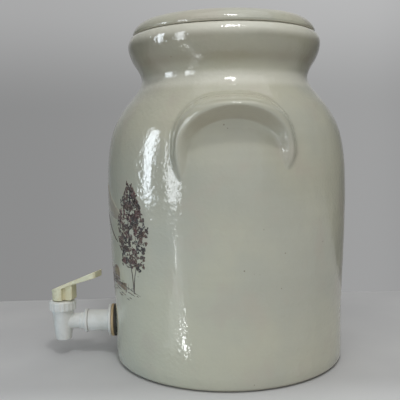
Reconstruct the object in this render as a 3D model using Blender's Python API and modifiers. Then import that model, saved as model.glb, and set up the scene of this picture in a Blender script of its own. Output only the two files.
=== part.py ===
"""Glazed stoneware crock with a loose lid, two lug handles and a plastic lever tap.

+Z is up and the origin is the centre of the flat base. The tap points along -Y and the
lugs lie on the X axis. All lengths are in metres.
"""

import math

import bmesh
import bpy
from mathutils import Matrix, Vector

MM = 0.001
GAP = 0.3 * MM  # clearance between pieces that touch
SKIN = 1 * MM  # how far a joined shape sinks into the wall it grows out of

# Crock
BODY_SEGMENTS = 56
WALL = 8 * MM
BASE_THICKNESS = 11 * MM
TAP_WALL_RADIUS = 120.9 * MM  # outer wall where the tap goes through
NECK_BORE = 78 * MM
MOUTH_LAND = 83.5 * MM
RIM_TOP = 336 * MM

# Lug handles. Each has three arches on the wall: a half width in degrees, a height and a
# squareness, which is 2 for an ellipse. Below its springing an arch goes on as a leg.
LUG_SPRINGING = 217.5 * MM
LUG_POCKET = (19.5, 29.5 * MM, 2)  # where the underside meets the wall
LUG_LIP = (22.0, 41.0 * MM, 2)  # the lip that fingers hook under
LUG_FOOT = (28.5, 55.5 * MM, 3)  # where the top face dies into the shoulder
LUG_LIP_RADIUS = 139.5 * MM
LUG_LEG_RISE = 8 * MM  # how far a leg stands off the wall
LUG_LEG_LENGTH = 27 * MM
LUG_ARCH_SECTIONS = 18
LUG_LEG_SECTIONS = 4

# Lid
LID_SEGMENTS = 56
LID_SEAT = RIM_TOP + GAP
LID_RADIUS = 94.5 * MM
LID_EDGE_TOP = 349 * MM
LID_RECESS_FLOOR = 339.5 * MM
LID_DISH_RADIUS = 75.5 * MM
LID_DISH_BOTTOM = 331 * MM
KNOB_RADIUS = 16.5 * MM
KNOB_TOP = 357.5 * MM

# Tap. Distances along the shank are measured from the barrel's axis towards the crock.
ROUND_SEGMENTS = 32
SHANK_Z = 36.8 * MM
REACH = 57.9 * MM  # barrel axis to crock wall
BARREL_Y = -(TAP_WALL_RADIUS + REACH)
BARREL_TOP_RADIUS = 11.8 * MM
OUTLET_RADIUS = 8.5 * MM
OUTLET_Z = 17.5 * MM
SHOULDER_Z = 49.5 * MM
NECK_RADIUS = 11 * MM
NECK_TOP_Z = 56.3 * MM
CHAMBER_RADIUS = 9 * MM
SPOUT_BORE = 6.3 * MM
SEAT_Z = 31.8 * MM
ARM_RADIUS = 8.4 * MM
STEP_RADIUS = 9 * MM
STEP_START = 19.2 * MM
COLLAR_START = 23.4 * MM
COLLAR_RADIUS = 12.5 * MM
COLLAR_END = 26.9 * MM
SHANK_RADIUS = 7.8 * MM
SHANK_BORE = 4.6 * MM
SHANK_END = 84 * MM
SHANK_HOLE = SHANK_RADIUS + 0.5 * MM  # hole in each ring on the shank
WALL_HOLE = 9.5 * MM

SLEEVE_RADIUS = 11.5 * MM
FLANGE_RADIUS = 17 * MM
FLANGE_START = 49.8 * MM
FLANGE_END = 52.6 * MM
WASHER_RADIUS = 17.3 * MM
WASHER_THICKNESS = 2.6 * MM
INNER_WASHER_RADIUS = 16 * MM
INNER_WASHER_END = 70.5 * MM
NUT_FLANGE_RADIUS = 16 * MM
NUT_FLANGE = 2.4 * MM
NUT_ACROSS_CORNERS = 30 * MM
NUT_LENGTH = 9.2 * MM

BONNET_RADIUS = 13.6 * MM
BONNET_BOTTOM = SHOULDER_Z + 0.5 * MM
BONNET_TOP = 60.3 * MM
BONNET_PLATE = 2.2 * MM
BONNET_BORE = NECK_RADIUS + 0.4 * MM
BONNET_RIBS = 18
RIB_HEIGHT = 0.6 * MM
STEM_HOLE = 3.7 * MM

# Valve
STEM_RADIUS = 3.2 * MM
STEM_SEGMENTS = 24
CUP_TOP = 44.3 * MM
CUP_LIP_RADIUS = CHAMBER_RADIUS - GAP
SPRING_RADIUS = 6.2 * MM
SPRING_WIRE = 0.45 * MM
SPRING_TURNS = 4
SPRING_POINTS_PER_TURN = 12
SPRING_WASHER_RADIUS = 10.8 * MM
SPRING_WASHER_THICKNESS = 0.6 * MM

# Lever. It is worked out along its own length, from the pin: X across, Y along, Z up.
LEVER_TURN = math.radians(20)  # how far the lever is turned from pointing at the crock
PIN_Z = 68.5 * MM
PIN_RADIUS = 1.2 * MM
PIN_FROM, PIN_TO = -11 * MM, 7.5 * MM
LEVER_SLOPE = math.tan(math.radians(22.8))
LEVER_TOP_AT_PIN = 7.7 * MM
HUB_RADIUS = 11.1 * MM
HUB_BACK = 4.5 * MM
HUB_BOTTOM = BONNET_TOP + 0.9 * MM - PIN_Z
CHEEK_HALF_WIDTH = 5.4 * MM
CHEEK_BACK = 14.5 * MM
HEEL = 2 * MM  # bevel under the back of the cheeks, which clears the bonnet in use
PADDLE_END = 44.5 * MM
PADDLE_HALF_WIDTH = 9.5 * MM
PADDLE_WAIST = 17 * MM
PADDLE_CORNER = 3.5 * MM
PADDLE_SKIN = 2.2 * MM
SLOT_HALF_WIDTH = STEM_RADIUS + 0.5 * MM
SLOT_FRONT, SLOT_BACK = -3.9 * MM, 7.4 * MM
SLOT_TOP = 4.4 * MM

MATERIALS = {
    # name: (colour, roughness)
    "glaze": ((0.62, 0.61, 0.54), 0.12),
    "white_plastic": ((0.80, 0.81, 0.79), 0.38),
    "cream_plastic": ((0.78, 0.76, 0.55), 0.40),
    "tan_rubber": ((0.55, 0.40, 0.24), 0.65),
    "dark_rubber": ((0.035, 0.033, 0.025), 0.70),
    "silicone": ((0.78, 0.77, 0.74), 0.50),
    "steel": ((0.62, 0.62, 0.64), 0.28),
}


# ---------------------------------------------------------------- scene helpers

def clear_scene():
    for existing in list(bpy.data.objects):
        bpy.data.objects.remove(existing)


def new_collection(name):
    collection = bpy.data.collections.new(name)
    bpy.context.scene.collection.children.link(collection)
    return collection


def make_material(name, colour, roughness):
    material = bpy.data.materials.new(name)
    material.use_nodes = True
    shader = material.node_tree.nodes["Principled BSDF"]
    shader.inputs["Base Color"].default_value = (*colour, 1)
    shader.inputs["Roughness"].default_value = roughness
    shader.inputs["Metallic"].default_value = 1.0 if name == "steel" else 0.0
    return material


def add_object(name, mesh, collection, material=None):
    piece = bpy.data.objects.new(name, mesh)
    collection.objects.link(piece)
    if material:
        mesh.materials.append(material)
    if collection is cutters:
        piece.hide_render = True
        piece.display_type = "WIRE"
    return piece


def mesh_from(name, vertices, edges=(), faces=()):
    mesh = bpy.data.meshes.new(name)
    mesh.from_pydata([tuple(v) for v in vertices], list(edges), list(faces))
    return mesh


def shade(piece, angle=35):
    piece.data.shade_smooth()
    piece.data.set_sharp_from_angle(angle=math.radians(angle))


def turned(name, profile, collection, material=None, segments=ROUND_SEGMENTS, ring=False):
    """A turned piece about Z. The profile is (radius, height) pairs, down its outer side.

    A ring's profile is a closed loop; any other starts and ends on the axis.
    """
    points = [(radius, 0, height) for radius, height in profile]
    edges = [(i, i + 1) for i in range(len(points) - 1)]
    if ring:
        edges.append((len(points) - 1, 0))
    piece = add_object(name, mesh_from(name, points, edges), collection, material)
    screw = piece.modifiers.new("turn", "SCREW")
    screw.axis = "Z"
    screw.angle = 2 * math.pi
    screw.steps = segments
    screw.render_steps = segments
    screw.use_merge_vertices = True
    screw.merge_threshold = 0.00001
    return piece


def flat_outline(name, points, thickness, collection, material=None):
    """A plate from a closed outline in XY, centred on Z = 0, as a mesh with welded caps."""
    curve = bpy.data.curves.new(name, "CURVE")
    curve.dimensions = "2D"
    curve.fill_mode = "BOTH"
    curve.extrude = thickness / 2
    spline = curve.splines.new("POLY")
    spline.points.add(len(points) - 1)
    for spline_point, (x, y) in zip(spline.points, points):
        spline_point.co = (x, y, 0, 1)
    spline.use_cyclic_u = True
    return curve_to_mesh(name, curve, collection, material)


def curve_to_mesh(name, curve, collection, material=None):
    drawn = bpy.data.objects.new(name + "_curve", curve)
    bpy.context.scene.collection.objects.link(drawn)
    bpy.context.view_layer.update()
    evaluated = drawn.evaluated_get(bpy.context.evaluated_depsgraph_get())
    mesh = bpy.data.meshes.new_from_object(evaluated)
    mesh.name = name
    bpy.data.objects.remove(drawn)
    work = bmesh.new()
    work.from_mesh(mesh)
    bmesh.ops.remove_doubles(work, verts=work.verts, dist=0.000001)
    bmesh.ops.recalc_face_normals(work, faces=work.faces)
    work.to_mesh(mesh)
    work.free()
    mesh.materials.clear()
    return add_object(name, mesh, collection, material)


def cylinder(name, radius, start, end, segments=ROUND_SEGMENTS):
    """A cutting cylinder along Z from start to end."""
    work = bmesh.new()
    bmesh.ops.create_cone(
        work, cap_ends=True, segments=segments, radius1=radius, radius2=radius,
        depth=end - start, matrix=Matrix.Translation((0, 0, (start + end) / 2)),
    )
    mesh = bpy.data.meshes.new(name)
    work.to_mesh(mesh)
    work.free()
    return add_object(name, mesh, cutters)


def box(name, low, high):
    """A cutting box between two corners."""
    low, high = Vector(low), Vector(high)
    work = bmesh.new()
    size = Matrix.Diagonal((*(high - low), 1))
    bmesh.ops.create_cube(work, size=1, matrix=Matrix.Translation((low + high) / 2) @ size)
    mesh = bpy.data.meshes.new(name)
    work.to_mesh(mesh)
    work.free()
    return add_object(name, mesh, cutters)


def combine(piece, tool, operation="DIFFERENCE"):
    boolean = piece.modifiers.new(tool.name, "BOOLEAN")
    boolean.operation = operation
    boolean.object = tool
    boolean.solver = "EXACT"


def lay_along_shank(piece, distance=0.0):
    """Turns a piece made about Z so that its +Z points out of the tap, away from the crock."""
    piece.location = (0, BARREL_Y + distance, SHANK_Z)
    piece.rotation_euler = (math.pi / 2, 0, 0)


# ---------------------------------------------------------------- crock

def body_stations():
    """Where the outer wall passes, from the rim's crown down to the foot."""
    return [
        (97.4, 333.0), (99.6, 327.5), (98.8, 319.0), (95.2, 310.0), (89.6, 301.0),
        (86.8, 292.5), (89.0, 284.5), (96.6, 274.0), (107.2, 260.5), (116.2, 244.0),
        (121.8, 223.5), (124.4, 199.0), (125.0, 165.0), (123.8, 120.0), (121.9, 80.0),
        (120.9, 50.0), (120.9, 14.0),
    ]


def wall_radius(height):
    """Outer wall radius at a height, along straight lines between the stations."""
    stations = [(radius * MM, z * MM) for radius, z in body_stations()]
    for (upper, top), (lower, bottom) in zip(stations, stations[1:]):
        if height >= bottom:
            share = (height - bottom) / (top - bottom)
            return lower + share * (upper - lower)
    return stations[-1][0]


def corner(centre, radius, start, end, steps):
    """Points on a round corner, with angles in degrees from +radius towards +height."""
    points = []
    for step in range(steps + 1):
        angle = math.radians(start + (end - start) * step / steps)
        points.append((centre[0] + radius * math.cos(angle), centre[1] + radius * math.sin(angle)))
    return points


def crock_profile():
    foot = 6 * MM
    cove = 7 * MM
    outer = [(radius * MM, height * MM) for radius, height in body_stations()]
    crown = [(MOUTH_LAND, RIM_TOP), (92.5 * MM, RIM_TOP)]
    heel = corner((TAP_WALL_RADIUS - foot, foot), foot, 0, -90, 3)
    inner = [
        (radius - WALL, height) for radius, height in outer
        if RIM_TOP - 60 * MM > height > BASE_THICKNESS + cove
    ]
    tap_bore_radius = TAP_WALL_RADIUS - WALL
    cove_points = corner((tap_bore_radius - cove, BASE_THICKNESS + cove), cove, -90, 0, 3)
    throat = [
        (NECK_BORE + 2 * MM, 280 * MM), (NECK_BORE, 292 * MM), (NECK_BORE + 0.5 * MM, 322 * MM),
        (NECK_BORE + 2.5 * MM, 333 * MM),
    ]
    inside = [(0, BASE_THICKNESS)] + cove_points + inner[::-1] + throat
    return inside + crown + outer + heel + [(0, 0)]


def arch_point(arch, turn):
    """A point on one of the lug's arches: (degrees round the wall, height).

    Turn is 0 at the top and 1 or -1 at the springings, and goes on to 2 or -2 down the legs.
    """
    half_width, rise, squareness = arch
    angle = min(abs(turn), 1) * math.pi / 2
    leg = max(0.0, abs(turn) - 1)
    across = math.sin(angle) ** (2 / squareness) * half_width
    across += (LUG_LIP[0] - half_width) * leg ** 1.5
    up = abs(math.cos(angle)) ** (2 / squareness) * rise
    return math.copysign(across, turn), LUG_SPRINGING + up - LUG_LEG_LENGTH * leg


def on_lug(arch_position, radius):
    degrees, height = arch_position
    angle = math.radians(degrees)
    return Vector((radius * math.cos(angle), radius * math.sin(angle), height))


def between(a, b, share):
    return (a[0] + (b[0] - a[0]) * share, a[1] + (b[1] - a[1]) * share)


def lug_section(turn):
    """One closed section across the lug, from the pocket over the lip to the foot."""
    pocket, lip, foot = (arch_point(arch, turn) for arch in (LUG_POCKET, LUG_LIP, LUG_FOOT))
    leg = max(0.0, abs(turn) - 1)
    leg_radius = wall_radius(lip[1]) - SKIN * leg + LUG_LEG_RISE * (1 - leg ** 1.5)
    top_share = max(0.0, math.cos(turn * math.pi / 2)) ** 0.7 if leg == 0 else 0.0
    lip_radius = leg_radius + (LUG_LIP_RADIUS - leg_radius) * top_share

    def rise(position, share):
        wall = wall_radius(position[1]) - SKIN
        return wall + (lip_radius - wall) * share

    across = [
        (between(pocket, lip, -0.05), 0.0), (between(pocket, lip, 0.45), 0.70),
        (between(pocket, lip, 0.80), 0.94), (lip, 1.0), (between(lip, foot, 0.18), 0.97),
        (between(lip, foot, 0.38), 0.80), (between(lip, foot, 0.62), 0.44),
        (between(lip, foot, 0.84), 0.13), (between(lip, foot, 1.03), 0.0),
    ]
    outside = [on_lug(position, rise(position, share)) for position, share in across]
    buried = [
        on_lug(position, wall_radius(position[1]) - WALL / 2)
        for position in (between(pocket, foot, 0.95), between(pocket, foot, 0.05))
    ]
    return outside + buried


def lug_turns():
    """Where the lug's sections stand: closer together round the arch, further apart on the legs."""
    arch = [2 * i / LUG_ARCH_SECTIONS - 1 for i in range(LUG_ARCH_SECTIONS + 1)]
    leg = [1 + (i + 1) / LUG_LEG_SECTIONS * 0.98 for i in range(LUG_LEG_SECTIONS)]
    return [-turn for turn in reversed(leg)] + arch + leg


def make_lug(name, side):
    """A lug lofted through sections along its arches. Side is 1 for +X and -1 for -X."""
    sections = [lug_section(turn) for turn in lug_turns()]
    count = len(sections[0])
    last = len(sections) - 1
    turn = Matrix.Rotation(0 if side > 0 else math.pi, 3, "Z")
    vertices = [turn @ point for section in sections for point in section]
    faces = [list(range(count)), [last * count + i for i in reversed(range(count))]]
    for row in range(last):
        for i in range(count):
            a, b = row * count + i, row * count + (i + 1) % count
            faces.append([a, a + count, b + count, b])
    lug = add_object(name, mesh_from(name, vertices, faces=faces), cutters)
    work = bmesh.new()
    work.from_mesh(lug.data)
    bmesh.ops.triangulate(work, faces=work.faces)
    bmesh.ops.recalc_face_normals(work, faces=work.faces)
    work.to_mesh(lug.data)
    work.free()
    return lug


def make_crock():
    crock = turned("crock_body", crock_profile(), parts, materials["glaze"], BODY_SEGMENTS)
    combine(crock, make_lug("lug_right", 1), "UNION")
    combine(crock, make_lug("lug_left", -1), "UNION")
    hole = cylinder("wall_hole", WALL_HOLE, -SHANK_END, -REACH + 10 * MM)
    lay_along_shank(hole)
    combine(crock, hole)
    shade(crock)


def make_lid():
    rise = LID_EDGE_TOP - LID_SEAT
    knob_waist = 10.5 * MM
    profile = [
        (0, KNOB_TOP), (KNOB_RADIUS - 4 * MM, KNOB_TOP - 0.4 * MM),
        (KNOB_RADIUS, KNOB_TOP - 3.6 * MM), (KNOB_RADIUS - 1 * MM, KNOB_TOP - 7 * MM),
        (knob_waist, KNOB_TOP - 11 * MM), (knob_waist + 0.8 * MM, LID_RECESS_FLOOR + 2 * MM),
        (knob_waist + 5 * MM, LID_RECESS_FLOOR), (62 * MM, LID_RECESS_FLOOR),
        (68.5 * MM, LID_RECESS_FLOOR + 2 * MM), (74 * MM, LID_EDGE_TOP - 2 * MM),
        (79 * MM, LID_EDGE_TOP), (LID_RADIUS - 10 * MM, LID_EDGE_TOP - 0.3 * MM),
        (LID_RADIUS - 4.6 * MM, LID_SEAT + 0.72 * rise), (LID_RADIUS - 1.2 * MM, LID_SEAT + 0.42 * rise),
        (LID_RADIUS, LID_SEAT + 0.18 * rise), (LID_RADIUS - 1 * MM, LID_SEAT),
        (LID_DISH_RADIUS + 3 * MM, LID_SEAT), (LID_DISH_RADIUS, LID_SEAT - 2 * MM),
        (LID_DISH_RADIUS - 1 * MM, LID_DISH_BOTTOM + 0.8 * MM),
        (LID_DISH_RADIUS - 4 * MM, LID_DISH_BOTTOM), (0, LID_DISH_BOTTOM),
    ]
    shade(turned("lid", profile, parts, materials["glaze"], LID_SEGMENTS))


# ---------------------------------------------------------------- tap, fixed pieces

def make_faucet_body():
    outer = [
        (0, NECK_TOP_Z), (NECK_RADIUS, NECK_TOP_Z), (NECK_RADIUS, SHOULDER_Z + GAP),
        (BARREL_TOP_RADIUS, SHOULDER_Z), (OUTLET_RADIUS, OUTLET_Z + 0.6 * MM),
        (OUTLET_RADIUS - 0.5 * MM, OUTLET_Z), (0, OUTLET_Z),
    ]
    body = turned("faucet_body", outer, parts, materials["white_plastic"])
    body.location.y = BARREL_Y
    arm_profile = [
        (0, 0), (ARM_RADIUS, 0), (ARM_RADIUS, -STEP_START + 0.5 * MM), (STEP_RADIUS, -STEP_START),
        (STEP_RADIUS, -COLLAR_START), (COLLAR_RADIUS, -COLLAR_START - 0.3 * MM),
        (COLLAR_RADIUS, -COLLAR_END), (SHANK_RADIUS, -COLLAR_END), (SHANK_RADIUS, 0.6 * MM - SHANK_END),
        (SHANK_RADIUS - 0.6 * MM, -SHANK_END), (0, -SHANK_END),
    ]
    arm = turned("arm", arm_profile, cutters)
    lay_along_shank(arm)
    combine(body, arm, "UNION")
    chamber_profile = [
        (0, NECK_TOP_Z + 5 * MM), (CHAMBER_RADIUS, NECK_TOP_Z + 5 * MM), (CHAMBER_RADIUS, SEAT_Z),
        (SPOUT_BORE + 0.5 * MM, SEAT_Z), (SPOUT_BORE, SEAT_Z - 1.2 * MM),
        (SPOUT_BORE, OUTLET_Z - 5 * MM), (0, OUTLET_Z - 5 * MM),
    ]
    chamber = turned("chamber", chamber_profile, cutters)
    chamber.location.y = BARREL_Y
    combine(body, chamber)
    bore = cylinder("shank_bore", SHANK_BORE, -SHANK_END - 5 * MM, 0, STEM_SEGMENTS)
    lay_along_shank(bore)
    combine(body, bore)
    shade(body)


def shank_ring(name, start, end, radius, material):
    """A plain ring on the shank, between two distances from the barrel's axis."""
    profile = [(radius, -start), (radius, -end), (SHANK_HOLE, -end), (SHANK_HOLE, -start)]
    ring = turned(name, profile, parts, materials[material], ring=True)
    lay_along_shank(ring)
    return ring


def make_sleeve():
    start = COLLAR_END + GAP
    profile = [
        (SLEEVE_RADIUS, -start), (SLEEVE_RADIUS, -FLANGE_START + 0.8 * MM),
        (SLEEVE_RADIUS + 0.8 * MM, -FLANGE_START), (FLANGE_RADIUS - 0.7 * MM, -FLANGE_START),
        (FLANGE_RADIUS, -FLANGE_START - 0.7 * MM), (FLANGE_RADIUS, -FLANGE_END),
        (SHANK_HOLE, -FLANGE_END), (SHANK_HOLE, -start),
    ]
    sleeve = turned("shank_sleeve", profile, parts, materials["white_plastic"], ring=True)
    lay_along_shank(sleeve)
    shade(sleeve)


def make_washers():
    tan_start = FLANGE_END + GAP
    tan_end = tan_start + WASHER_THICKNESS
    shade(shank_ring("outer_washer", tan_start, tan_end, WASHER_RADIUS, "tan_rubber"))

    wall_washer = shank_ring(
        "wall_washer", tan_end + GAP, REACH + 4 * MM, WASHER_RADIUS, "dark_rubber"
    )
    outside_of_wall = cylinder("outer_wall_form", TAP_WALL_RADIUS + GAP, 0, 2 * SHANK_Z, 256)
    combine(wall_washer, outside_of_wall)
    shade(wall_washer)

    inner_washer = shank_ring(
        "inner_washer", REACH + WALL / 2, INNER_WASHER_END, INNER_WASHER_RADIUS, "tan_rubber"
    )
    inside_of_wall = cylinder(
        "inner_wall_form", TAP_WALL_RADIUS - WALL - 2 * GAP, 0, 2 * SHANK_Z, 256
    )
    combine(inner_washer, inside_of_wall, "INTERSECT")
    shade(inner_washer)


def make_nut():
    start = INNER_WASHER_END + GAP
    hexagon = [
        (
            NUT_ACROSS_CORNERS / 2 * math.cos(math.radians(60 * i + 30)),
            NUT_ACROSS_CORNERS / 2 * math.sin(math.radians(60 * i + 30)),
        )
        for i in range(6)
    ]
    nut = flat_outline("shank_nut", hexagon, NUT_LENGTH, parts, materials["white_plastic"])
    lay_along_shank(nut, start + NUT_LENGTH / 2)
    flange = cylinder("nut_flange", NUT_FLANGE_RADIUS, -start - NUT_FLANGE, -start)
    lay_along_shank(flange)
    combine(nut, flange, "UNION")
    bore = cylinder("nut_bore", SHANK_HOLE, -start - 2 * NUT_LENGTH, -start + NUT_LENGTH)
    lay_along_shank(bore)
    combine(nut, bore)
    shade(nut)


def make_bonnet():
    outline = []
    for rib in range(BONNET_RIBS):
        pitch = 2 * math.pi / BONNET_RIBS
        for share, height in ((0.0, 0), (0.36, 0), (0.52, RIB_HEIGHT), (0.84, RIB_HEIGHT)):
            angle = (rib + share) * pitch
            radius = BONNET_RADIUS + height
            outline.append((radius * math.cos(angle), radius * math.sin(angle)))
    height = BONNET_TOP - BONNET_BOTTOM
    bonnet = flat_outline("bonnet", outline, height, parts, materials["white_plastic"])
    bonnet.location = (0, BARREL_Y, (BONNET_TOP + BONNET_BOTTOM) / 2)
    over = 5 * MM
    envelope_profile = [
        (0, BONNET_TOP), (BONNET_RADIUS - 1 * MM, BONNET_TOP),
        (BONNET_RADIUS + RIB_HEIGHT + 1 * MM, BONNET_TOP - 2 * MM),
        (BONNET_RADIUS + RIB_HEIGHT + 1 * MM, BONNET_BOTTOM - over), (0, BONNET_BOTTOM - over),
    ]
    envelope = turned("bonnet_envelope", envelope_profile, cutters)
    cavity_profile = [
        (0, BONNET_TOP + over), (STEM_HOLE, BONNET_TOP + over), (STEM_HOLE, BONNET_TOP - BONNET_PLATE),
        (BONNET_BORE, BONNET_TOP - BONNET_PLATE), (BONNET_BORE, BONNET_BOTTOM - over),
        (0, BONNET_BOTTOM - over),
    ]
    cavity = turned("bonnet_cavity", cavity_profile, cutters)
    for tool in (envelope, cavity):
        tool.location.y = BARREL_Y
    combine(bonnet, envelope, "INTERSECT")
    combine(bonnet, cavity)
    shade(bonnet)


def make_spring_washer():
    top = BONNET_TOP - BONNET_PLATE - GAP
    bottom = top - SPRING_WASHER_THICKNESS
    hole = STEM_RADIUS + 0.8 * MM
    profile = [
        (SPRING_WASHER_RADIUS, top), (SPRING_WASHER_RADIUS, bottom), (hole, bottom), (hole, top),
    ]
    washer = turned("spring_washer", profile, parts, materials["steel"], ring=True)
    washer.location.y = BARREL_Y
    shade(washer)
    return bottom


def make_spring(top):
    start = CUP_TOP + GAP + SPRING_WIRE
    end = top - GAP - SPRING_WIRE
    curve = bpy.data.curves.new("closing_spring", "CURVE")
    curve.dimensions = "3D"
    curve.bevel_depth = SPRING_WIRE
    curve.bevel_resolution = 2
    curve.use_fill_caps = True
    count = SPRING_TURNS * SPRING_POINTS_PER_TURN + 1
    spline = curve.splines.new("POLY")
    spline.points.add(count - 1)
    for i, spline_point in enumerate(spline.points):
        share = i / (count - 1)
        angle = 2 * math.pi * SPRING_TURNS * share
        x, y = SPRING_RADIUS * math.cos(angle), SPRING_RADIUS * math.sin(angle)
        spline_point.co = (x, y, start + (end - start) * share, 1)
    spring = curve_to_mesh("closing_spring", curve, parts, materials["steel"])
    spring.location.y = BARREL_Y
    shade(spring, 60)


# ---------------------------------------------------------------- tap, moving pieces

def barrel_empty():
    """The axis that the valve slides along and the lever swivels about."""
    empty = bpy.data.objects.new("valve_axis", None)
    empty.location = (0, BARREL_Y, 0)
    parts.objects.link(empty)
    return empty


def make_seat_cup(axis):
    profile = [
        (0, 36.4 * MM), (3.4 * MM, 36.4 * MM), (3.4 * MM, 39.4 * MM), (2.5 * MM, 40.2 * MM),
        (2.5 * MM, 42.0 * MM), (3.6 * MM, CUP_TOP), (CUP_LIP_RADIUS - 0.4 * MM, CUP_TOP),
        (CUP_LIP_RADIUS, CUP_TOP - 0.5 * MM), (CUP_LIP_RADIUS, 42.8 * MM), (6.0 * MM, 41.4 * MM),
        (5.4 * MM, 40.0 * MM), (7.9 * MM, 36.3 * MM), (7.9 * MM, SEAT_Z + 1 * MM),
        (7.4 * MM, SEAT_Z + GAP), (0, SEAT_Z + GAP),
    ]
    cup = turned("seat_cup", profile, parts, materials["silicone"], 32)
    cup.parent = axis
    shade(cup)


def make_stem(axis):
    barb, waist = 3.1 * MM, 2.2 * MM
    profile = [
        (0, 71.8 * MM), (2.2 * MM, 71.4 * MM), (STEM_RADIUS, 70.2 * MM),
        (STEM_RADIUS, CUP_TOP + GAP), (waist, 43.0 * MM), (waist, 40.0 * MM), (barb, 39.1 * MM),
        (barb, 38.2 * MM), (2.0 * MM, 36.7 * MM), (0, 36.7 * MM),
    ]
    stem = turned("valve_stem", profile, parts, materials["white_plastic"], STEM_SEGMENTS)
    stem.parent = axis
    hole = cylinder("stem_pin_hole", PIN_RADIUS + GAP, -10 * MM, 10 * MM, 16)
    hole.location = (0, BARREL_Y, PIN_Z)
    hole.rotation_euler = (0, math.pi / 2, -LEVER_TURN)
    combine(stem, hole)
    shade(stem)


def lever_top(along):
    return LEVER_TOP_AT_PIN + along * LEVER_SLOPE


def plan_outline(inset=0.0, start=-HUB_RADIUS):
    """The lever's top plate from above: round over the hub, waisted, then a wide paddle."""
    end, half, waist = PADDLE_END - inset, PADDLE_HALF_WIDTH - inset, CHEEK_HALF_WIDTH + 0.4 * MM - inset
    right = [(waist, PADDLE_WAIST), (half, end - 2.2 * PADDLE_CORNER)]
    right += corner((half - PADDLE_CORNER, end - PADDLE_CORNER), PADDLE_CORNER, 0, 90, 4)
    if inset:
        right = [(waist, start)] + right
    else:
        right = corner((0, 0), HUB_RADIUS, -90, 30, 12)[1:] + right
    left = [(-x, y) for x, y in reversed(right)]
    tip = [] if inset else [(0, -HUB_RADIUS)]
    return tip + right + left


def side_outline(top_inset=0.0, skirt=True, start=-HUB_RADIUS - 1 * MM):
    """The lever's top plate from the side, as (along, up) pairs."""
    end = PADDLE_END + 1 * MM
    near = lever_top(start) - top_inset
    far = lever_top(end) - top_inset
    if skirt:
        return [
            (start, near), (start, near - 2.6 * MM), (CHEEK_BACK, lever_top(CHEEK_BACK) - 4 * MM),
            (end, far - 6.9 * MM), (end, far),
        ]
    return [(start, near), (start, near - 12 * MM), (end, far - 12 * MM), (end, far)]


def hub_outline():
    """The hub from above: a drum at the front and two flat cheeks behind."""
    start = math.degrees(math.asin(HUB_BACK / HUB_RADIUS))
    drum = corner((0, 0), HUB_RADIUS - 0.3 * MM, -90, start, 12)
    right = drum + [(CHEEK_HALF_WIDTH, drum[-1][1]), (CHEEK_HALF_WIDTH, CHEEK_BACK)]
    return right + [(-x, y) for x, y in reversed(right[1:])]


def hub_side():
    """The hub from the side: flat underneath, a bevelled heel, and sloped under the plate."""
    front = -HUB_RADIUS - 1 * MM
    back = CHEEK_BACK + 1 * MM
    return [
        (front, HUB_BOTTOM + 1.4 * MM), (front + 2.4 * MM, HUB_BOTTOM), (CHEEK_BACK - HEEL, HUB_BOTTOM),
        (back, HUB_BOTTOM + HEEL + 1 * MM), (back, lever_top(back) - 1 * MM),
        (front, lever_top(front) - 1 * MM),
    ]


def side_plate(name, outline, half_width, collection):
    """A plate across the lever from an (along, up) outline, put in its mesh."""
    plate = flat_outline(name, outline, 2 * half_width, collection)
    upright = Matrix(((0, 0, 1, 0), (1, 0, 0, 0), (0, 1, 0, 0), (0, 0, 0, 1)))
    plate.data.transform(upright)
    return plate


def plan_plate(name, outline, collection, material=None):
    return flat_outline(name, outline, 80 * MM, collection, material)


def make_lever(axis):
    across = 20 * MM
    lever = plan_plate("lever_handle", plan_outline(), parts, materials["cream_plastic"])
    tools = [
        (side_plate("plate_side", side_outline(), across, cutters), "INTERSECT"),
        (plan_plate("hub_plan", hub_outline(), cutters), "UNION"),
        (plan_plate("paddle_hollow", plan_outline(PADDLE_SKIN, PADDLE_WAIST), cutters), "DIFFERENCE"),
        (box("stem_slot", (-SLOT_HALF_WIDTH, SLOT_FRONT, -20 * MM), (SLOT_HALF_WIDTH, SLOT_BACK, SLOT_TOP)),
         "DIFFERENCE"),
        (cylinder("lever_pin_hole", PIN_RADIUS + GAP, PIN_FROM - 5 * MM, PIN_TO + GAP, 16), "DIFFERENCE"),
    ]
    combine(tools[1][0], side_plate("hub_side", hub_side(), across, cutters), "INTERSECT")
    hollow_side = side_outline(PADDLE_SKIN, skirt=False, start=0.0)
    combine(tools[2][0], side_plate("hollow_side", hollow_side, across, cutters), "INTERSECT")
    tools[4][0].rotation_euler = (0, math.pi / 2, 0)
    frame = bpy.data.objects.new("lever_pivot", None)
    frame.parent = axis
    frame.location = (0, 0, PIN_Z)
    frame.rotation_euler = (0, 0, -LEVER_TURN)
    parts.objects.link(frame)
    lever.parent = frame
    for tool, operation in tools:
        tool.parent = frame
        combine(lever, tool, operation)
    for tool in cutters.objects:
        if tool.name in ("plate_side", "hub_side", "hollow_side"):
            tool.parent = frame
    shade(lever)
    return frame


def make_pin(frame):
    pin = cylinder("handle_pin", PIN_RADIUS, PIN_FROM, PIN_TO, 16)
    cutters.objects.unlink(pin)
    parts.objects.link(pin)
    pin.hide_render = False
    pin.display_type = "TEXTURED"
    pin.data.materials.append(materials["steel"])
    pin.parent = frame
    pin.rotation_euler = (0, math.pi / 2, 0)
    shade(pin)


clear_scene()
parts = new_collection("ceramic_crock_fermenter")
cutters = new_collection("cutters")
materials = {name: make_material(name, *look) for name, look in MATERIALS.items()}

make_crock()
make_lid()
make_faucet_body()
make_sleeve()
make_washers()
make_nut()
make_bonnet()
make_spring(make_spring_washer())
valve_axis = barrel_empty()
make_seat_cup(valve_axis)
make_stem(valve_axis)
make_pin(make_lever(valve_axis))
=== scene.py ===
"""Looks for a lidded stoneware crock with two lug handles and a plastic lever tap.

Lengths are in metres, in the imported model's frame: +Z up, the origin at the centre of the
flat base, the tap along -Y and the lug handles on the X axis.
"""

import math

import bpy
import numpy as np
from mathutils import Matrix, Vector


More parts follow.
